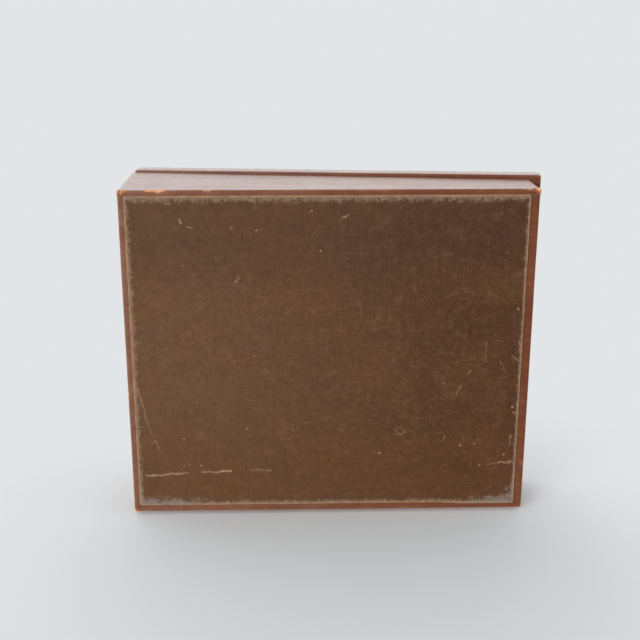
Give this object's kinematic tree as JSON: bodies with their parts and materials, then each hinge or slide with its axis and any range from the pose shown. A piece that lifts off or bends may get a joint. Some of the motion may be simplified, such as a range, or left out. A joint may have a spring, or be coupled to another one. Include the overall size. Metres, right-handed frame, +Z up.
{
  "type": "fleet guessing game case",
  "caption": "Sloping leather-covered console case whose lid stands up as a screen; peg boards in lid and base, with ships and pegs stored in a well behind.",
  "frame": {"origin": "on the felt base, at the middle of the case's footprint (255 by 305 mm)", "axes": "+Z up when the case stands on its base, -Y towards the low front where the player sits, +X to the player's right"},
  "size_m": [0.2598, 0.3209, 0.0938],
  "materials": {
    "brown_leather": "smooth reddish brown hide, satin, worn orange at corners and edges",
    "base_felt": "dense brown felt with a dusty grey rubbed border",
    "base_card": "plain filler card",
    "case_wood": "unfinished softwood, glued",
    "tray_wood": "stained and waxed hardwood",
    "suede": "tan suede lining",
    "board_leather": "dark blue-green hide with gilt grid lines",
    "brass": "lacquered brass, lightly brushed",
    "pewter": "cast pewter, satin",
    "white_peg": "ivory white, polished",
    "red_peg": "red, polished"
  },
  "bodies": {
    "case": {"base_felt": "base_felt", "base_card": "base_card", "base_board": "case_wood", "left_wall": "case_wood", "right_wall": "case_wood", "front_wall": "case_wood", "back_wall": "case_wood", "body_leather": "brown_leather", "wall_lining": "suede", "left_ledge": "case_wood", "right_ledge": "case_wood", "left_cleat": "case_wood", "right_cleat": "case_wood", "partition": "case_wood", "well_floor": "suede", "fleet_board": "board_leather", "ship_tray": "tray_wood", "white_peg_rack": "tray_wood", "red_peg_rack": "tray_wood", "left_hinge_body_leaf": "brass", "right_hinge_body_leaf": "brass", "left_hinge_pin": "brass", "right_hinge_pin": "brass", "body_leaf_screws": "brass"},
    "lid": {"lid_board": "case_wood", "lid_leather": "brown_leather", "lid_lining": "suede", "target_board": "board_leather", "left_hinge_lid_leaf": "brass", "right_hinge_lid_leaf": "brass", "lid_leaf_screws": "brass"},
    "ship_of_five": {"ship_of_five": "pewter"},
    "ship_of_four": {"ship_of_four": "pewter"},
    "first_ship_of_three": {"first_ship_of_three": "pewter"},
    "second_ship_of_three": {"second_ship_of_three": "pewter"},
    "ship_of_two": {"ship_of_two": "pewter"},
    "white_pegs": {"white_pegs": "white_peg"},
    "red_pegs": {"red_pegs": "red_peg"}
  },
  "joints": [
    {"name": "lid_hinge", "type": "hinge", "parent": "case", "child": "lid", "pos_m": [0, 0.15486, 0.08045], "axis": [-1, 0, 0], "range_deg": [0, 105]},
    {"name": "ship_of_five_lift", "type": "slide", "parent": "case", "child": "ship_of_five", "axis": [0, 0, 1], "range_m": [0, 0.012]},
    {"name": "ship_of_four_lift", "type": "slide", "parent": "case", "child": "ship_of_four", "axis": [0, 0, 1], "range_m": [0, 0.012]},
    {"name": "first_ship_of_three_lift", "type": "slide", "parent": "case", "child": "first_ship_of_three", "axis": [0, 0, 1], "range_m": [0, 0.012]},
    {"name": "second_ship_of_three_lift", "type": "slide", "parent": "case", "child": "second_ship_of_three", "axis": [0, 0, 1], "range_m": [0, 0.012]},
    {"name": "ship_of_two_lift", "type": "slide", "parent": "case", "child": "ship_of_two", "axis": [0, 0, 1], "range_m": [0, 0.012]},
    {"name": "white_pegs_lift", "type": "slide", "parent": "case", "child": "white_pegs", "axis": [0, 0, 1], "range_m": [0, 0.01]},
    {"name": "red_pegs_lift", "type": "slide", "parent": "case", "child": "red_pegs", "axis": [0, 0, 1], "range_m": [0, 0.01]}
  ]
}
